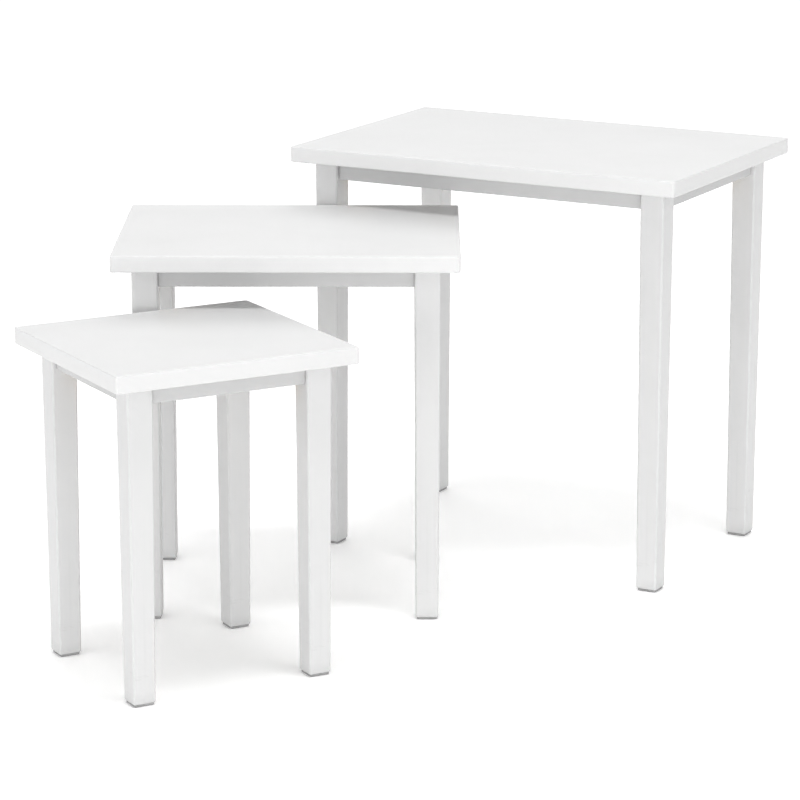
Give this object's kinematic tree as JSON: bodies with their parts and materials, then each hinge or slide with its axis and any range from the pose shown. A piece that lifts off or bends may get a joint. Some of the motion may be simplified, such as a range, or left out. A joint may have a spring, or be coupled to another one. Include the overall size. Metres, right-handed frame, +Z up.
{
  "type": "nesting tables",
  "caption": "Nest of rectangular side tables in graded sizes, each with a slab top on square tapered legs, fanned out so that each is partly under the next.",
  "frame": {"origin": "middle of the floor rectangle that the three fanned tables cover, on the floor", "axes": "+Z up, +X to the right along the medium table's front edge, +Y from the medium table's front to its back"},
  "size_m": [0.8492, 0.9102, 0.474],
  "materials": {
    "painted_top": "satin white lacquer on 18 mm board",
    "painted_leg": "satin white lacquer on solid wood",
    "painted_rail": "satin white lacquer on solid wood",
    "raw_block": "bare sawn pine",
    "dowel_wood": "bare turned beech",
    "zinc_steel": "bright zinc plate",
    "glide_plastic": "matt grey moulded plastic"
  },
  "bodies": {
    "large_table": {"large_top": "painted_top", "large_leg_back_right": "painted_leg", "large_leg_back_left": "painted_leg", "large_leg_front_left": "painted_leg", "large_leg_front_right": "painted_leg", "large_rail_front": "painted_rail", "large_rail_back": "painted_rail", "large_rail_left": "painted_rail", "large_rail_right": "painted_rail", "large_corner_block_back_right": "raw_block", "large_corner_block_back_left": "raw_block", "large_corner_block_front_left": "raw_block", "large_corner_block_front_right": "raw_block", "large_dowels": "dowel_wood", "large_hanger_bolts": "zinc_steel", "large_washers": "zinc_steel", "large_nuts": "zinc_steel", "large_top_screws": "painted_top", "large_glides": "glide_plastic"},
    "medium_table": {"medium_top": "painted_top", "medium_leg_back_right": "painted_leg", "medium_leg_back_left": "painted_leg", "medium_leg_front_left": "painted_leg", "medium_leg_front_right": "painted_leg", "medium_rail_front": "painted_rail", "medium_rail_back": "painted_rail", "medium_rail_left": "painted_rail", "medium_rail_right": "painted_rail", "medium_corner_block_back_right": "raw_block", "medium_corner_block_back_left": "raw_block", "medium_corner_block_front_left": "raw_block", "medium_corner_block_front_right": "raw_block", "medium_dowels": "dowel_wood", "medium_hanger_bolts": "zinc_steel", "medium_washers": "zinc_steel", "medium_nuts": "zinc_steel", "medium_top_screws": "painted_top", "medium_glides": "glide_plastic"},
    "small_table": {"small_top": "painted_top", "small_leg_back_right": "painted_leg", "small_leg_back_left": "painted_leg", "small_leg_front_left": "painted_leg", "small_leg_front_right": "painted_leg", "small_rail_front": "painted_rail", "small_rail_back": "painted_rail", "small_rail_left": "painted_rail", "small_rail_right": "painted_rail", "small_corner_block_back_right": "raw_block", "small_corner_block_back_left": "raw_block", "small_corner_block_front_left": "raw_block", "small_corner_block_front_right": "raw_block", "small_dowels": "dowel_wood", "small_hanger_bolts": "zinc_steel", "small_washers": "zinc_steel", "small_nuts": "zinc_steel", "small_top_screws": "painted_top", "small_glides": "glide_plastic"}
  },
  "joints": [
    {"name": "medium_table_slide", "type": "slide", "parent": "large_table", "child": "medium_table", "axis": [0, 1, 0], "range_m": [-0.295, 0.016]},
    {"name": "small_table_slide", "type": "slide", "parent": "medium_table", "child": "small_table", "axis": [-0.4909, 0.8712, 0], "range_m": [-0.257, 0.019]}
  ]
}
